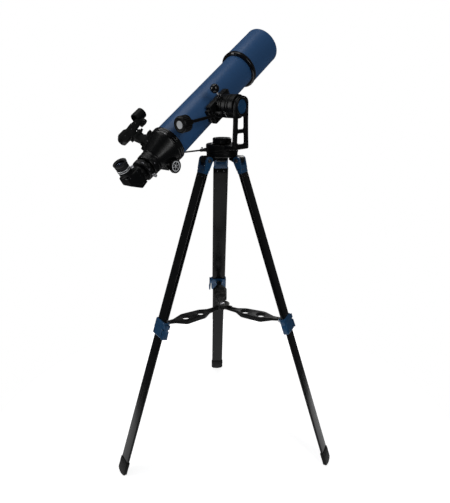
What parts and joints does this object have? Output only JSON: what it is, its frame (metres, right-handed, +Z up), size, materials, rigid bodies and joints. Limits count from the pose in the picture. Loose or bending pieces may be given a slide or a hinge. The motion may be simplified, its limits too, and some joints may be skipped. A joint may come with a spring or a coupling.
{
  "type": "refractor telescope on an altazimuth tripod",
  "caption": "Refractor telescope on a single-arm altazimuth head with slow-motion shafts, red-dot finder, right-angle diagonal and a folding tripod with an eyepiece tray.",
  "frame": {"origin": "on the floor under the azimuth axis", "axes": "+Z up along the azimuth axis, +Y the horizontal direction the tube points, +X along the altitude axis from the tube towards the arm"},
  "size_m": [0.7124, 0.733, 1.4348],
  "materials": {
    "black_casting": "satin black powder coat",
    "black_plastic": "satin black",
    "black_rod": "satin black",
    "bare_steel": "bright",
    "aluminium_rack": "bright",
    "tube_blue": "semi-gloss blue enamel",
    "blue_plastic": "semi-gloss blue",
    "dark_liner": "flat black",
    "objective_glass": "coated optical glass",
    "clear_glass": "coated optical glass",
    "black_aluminium": "black anodised",
    "mirror_coating": "first-surface mirror",
    "rubber": "soft matte",
    "leg_black": "satin black",
    "rubber_foot": "matte",
    "tray_black": "semi-gloss black"
  },
  "bodies": {
    "tripod": {"tripod_hub": "black_casting", "hinge_pins": "bare_steel"},
    "mount": {"azimuth_base": "black_casting", "mount_arm": "black_casting", "altitude_housing": "black_casting", "altitude_cap": "blue_plastic"},
    "azimuth_clamp": {"azimuth_clamp_knob": "black_plastic"},
    "altitude_lock": {"altitude_lock_lever": "black_plastic"},
    "altitude_drive": {"altitude_fine_shaft": "black_rod", "altitude_fine_knob": "black_plastic"},
    "azimuth_drive": {"azimuth_fine_shaft": "black_rod"},
    "telescope": {"saddle": "black_casting", "dovetail_bar": "black_casting", "main_tube": "tube_blue", "tube_baffles": "dark_liner", "front_collar": "black_plastic", "dew_shield": "tube_blue", "objective_cell": "black_plastic", "objective_lens": "objective_glass", "rear_cell": "black_plastic", "focuser_body": "black_plastic", "finder_bracket": "black_plastic", "finder_body": "black_plastic", "finder_window": "clear_glass"},
    "saddle_clamp": {"saddle_clamp_knob": "black_plastic"},
    "focus_tube": {"drawtube": "black_aluminium", "focus_rack": "aluminium_rack", "adapter_ring": "black_plastic"},
    "focus_shaft": {"focus_pinion": "bare_steel", "focus_knobs": "black_plastic"},
    "diagonal": {"diagonal_housing": "black_plastic", "diagonal_mirror": "mirror_coating"},
    "diagonal_screw": {"diagonal_thumbscrew": "bare_steel"},
    "eyepiece": {"eyepiece_body": "black_aluminium", "eyepiece_lens": "clear_glass", "eyepiece_eyecup": "rubber"},
    "eyepiece_screw": {"eyepiece_thumbscrew": "bare_steel"},
    "dial": {"finder_dial": "black_plastic"},
    "tray_centre": {"tray_hub": "black_plastic"},
    "leg_1": {"leg_bracket_1": "blue_plastic", "upper_leg_1": "leg_black", "leg_clamp_1": "blue_plastic"},
    "leg_lower_1": {"lower_leg_1": "leg_black", "foot_1": "rubber_foot"},
    "lever_1": {"clamp_lever_1": "blue_plastic"},
    "tray_1": {"tray_arm_1": "tray_black"},
    "leg_2": {"leg_bracket_2": "blue_plastic", "upper_leg_2": "leg_black", "leg_clamp_2": "blue_plastic"},
    "leg_lower_2": {"lower_leg_2": "leg_black", "foot_2": "rubber_foot"},
    "lever_2": {"clamp_lever_2": "blue_plastic"},
    "tray_2": {"tray_arm_2": "tray_black"},
    "leg_3": {"leg_bracket_3": "blue_plastic", "upper_leg_3": "leg_black", "leg_clamp_3": "blue_plastic"},
    "leg_lower_3": {"lower_leg_3": "leg_black", "foot_3": "rubber_foot"},
    "lever_3": {"clamp_lever_3": "blue_plastic"},
    "tray_3": {"tray_arm_3": "tray_black"}
  },
  "joints": [
    {"name": "azimuth_turn", "type": "hinge", "parent": "tripod", "child": "mount", "pos_m": [0, 0, 1.06], "axis": [0, 0, 1], "continuous": true},
    {"name": "altitude_tilt", "type": "hinge", "parent": "mount", "child": "telescope", "pos_m": [0.03, 0, 1.1955], "axis": [1, 0, 0], "range_deg": [-52, 17]},
    {"name": "azimuth_clamp_turn", "type": "hinge", "parent": "mount", "child": "azimuth_clamp", "pos_m": [0, 0, 1.09], "axis": [0, 0, 1], "continuous": true},
    {"name": "altitude_lock_turn", "type": "hinge", "parent": "mount", "child": "altitude_lock", "pos_m": [0.014, -0.03535, 1.23086], "axis": [0, -0.7071, 0.7071], "continuous": true},
    {"name": "altitude_fine_turn", "type": "hinge", "parent": "mount", "child": "altitude_drive", "pos_m": [0.016, -0.028, 1.1727], "axis": [0, -0.9925, -0.1219], "continuous": true},
    {"name": "azimuth_fine_turn", "type": "hinge", "parent": "mount", "child": "azimuth_drive", "pos_m": [0, -0.025, 1.07], "axis": [-0.9863, 0, -0.165], "continuous": true},
    {"name": "saddle_clamp_turn", "type": "hinge", "parent": "telescope", "child": "saddle_clamp", "pos_m": [-0.005, 0.04462, 1.18118], "axis": [0, 0.5358, -0.8443], "continuous": true},
    {"name": "focus_slide", "type": "slide", "parent": "telescope", "child": "focus_tube", "axis": [0, -0.8443, -0.5358], "range_m": [-0.004, 0.06]},
    {"name": "focus_turn", "type": "hinge", "parent": "telescope", "child": "focus_shaft", "pos_m": [-0.0703, -0.18565, 1.03267], "axis": [1, 0, 0], "range_deg": [-40, 500]},
    {"name": "diagonal_turn", "type": "hinge", "parent": "focus_tube", "child": "diagonal", "pos_m": [-0.0703, -0.27863, 1.01868], "axis": [0, -0.8443, -0.5358], "continuous": true},
    {"name": "eyepiece_lift", "type": "slide", "parent": "diagonal", "child": "eyepiece", "axis": [0, -0.5358, 0.8443], "range_m": [0, 0.06]},
    {"name": "diagonal_screw_turn", "type": "hinge", "parent": "focus_tube", "child": "diagonal_screw", "pos_m": [-0.03296, -0.25744, 1.01515], "axis": [0.9336, 0.192, -0.3026], "continuous": true},
    {"name": "eyepiece_screw_turn", "type": "hinge", "parent": "diagonal", "child": "eyepiece_screw", "pos_m": [-0.06531, -0.31018, 1.04129], "axis": [0.2079, 0.8259, 0.5241], "continuous": true},
    {"name": "finder_dial_turn", "type": "hinge", "parent": "telescope", "child": "dial", "pos_m": [-0.12004, -0.20752, 1.15578], "axis": [0.7431, -0.3585, 0.565], "range_deg": [-140, 140]},
    {"name": "leg_1_fold", "type": "hinge", "parent": "tripod", "child": "leg_1", "pos_m": [0.05834, 0.01401, 1.036], "axis": [-0.2334, 0.9724, 0], "range_deg": [0, 8]},
    {"name": "leg_2_fold", "type": "hinge", "parent": "tripod", "child": "leg_2", "pos_m": [-0.0413, 0.04352, 1.036], "axis": [-0.7254, -0.6884, 0], "range_deg": [0, 8]},
    {"name": "leg_3_fold", "type": "hinge", "parent": "tripod", "child": "leg_3", "pos_m": [-0.01704, -0.05753, 1.036], "axis": [0.9588, -0.284, 0], "range_deg": [0, 8]},
    {"name": "leg_1_extend", "type": "slide", "parent": "leg_1", "child": "leg_lower_1", "axis": [-0.3137, -0.0753, 0.9465], "range_m": [0, 0.38]},
    {"name": "leg_1_lever", "type": "hinge", "parent": "leg_1", "child": "lever_1", "pos_m": [0.22128, 0.08706, 0.52108], "axis": [0.9204, 0.221, 0.3226], "range_deg": [0, 80]},
    {"name": "leg_2_extend", "type": "slide", "parent": "leg_2", "child": "leg_lower_2", "axis": [0.2221, -0.234, 0.9465], "range_m": [0, 0.38]},
    {"name": "leg_2_lever", "type": "hinge", "parent": "leg_2", "child": "lever_2", "pos_m": [-0.18604, 0.1481, 0.52108], "axis": [-0.6516, 0.6866, 0.3226], "range_deg": [0, 80]},
    {"name": "leg_3_extend", "type": "slide", "parent": "leg_3", "child": "leg_lower_3", "axis": [0.0916, 0.3093, 0.9465], "range_m": [0, 0.38]},
    {"name": "leg_3_lever", "type": "hinge", "parent": "leg_3", "child": "lever_3", "pos_m": [-0.03524, -0.23517, 0.52108], "axis": [-0.2688, -0.9076, 0.3226], "range_deg": [0, 80]},
    {"name": "tray_1_fold", "type": "hinge", "parent": "leg_1", "child": "tray_1", "pos_m": [0.21198, 0.05089, 0.519], "axis": [-0.2334, 0.9724, 0], "range_deg": [0, 50]},
    {"name": "tray_2_fold", "type": "hinge", "parent": "leg_2", "child": "tray_2", "pos_m": [-0.15006, 0.15813, 0.519], "axis": [-0.7254, -0.6884, 0], "range_deg": [0, 50]},
    {"name": "tray_3_fold", "type": "hinge", "parent": "leg_3", "child": "tray_3", "pos_m": [-0.06191, -0.20902, 0.519], "axis": [0.9588, -0.284, 0], "range_deg": [0, 50]},
    {"name": "tray_centre_lift", "type": "slide", "parent": "tripod", "child": "tray_centre", "axis": [0, 0, 1], "range_m": [0, 0.1664]}
  ],
  "couplings": [
    {"joint": "leg_2_fold", "follows": "leg_1_fold", "ratio": 1},
    {"joint": "leg_3_fold", "follows": "leg_1_fold", "ratio": 1},
    {"joint": "tray_1_fold", "follows": "leg_1_fold", "ratio": 6.25},
    {"joint": "tray_2_fold", "follows": "leg_1_fold", "ratio": 6.25},
    {"joint": "tray_3_fold", "follows": "leg_1_fold", "ratio": 6.25},
    {"joint": "tray_centre_lift", "follows": "leg_1_fold", "m_per_rad": 1.191},
    {"joint": "focus_turn", "follows": "focus_slide", "rad_per_m": 142.86}
  ]
}
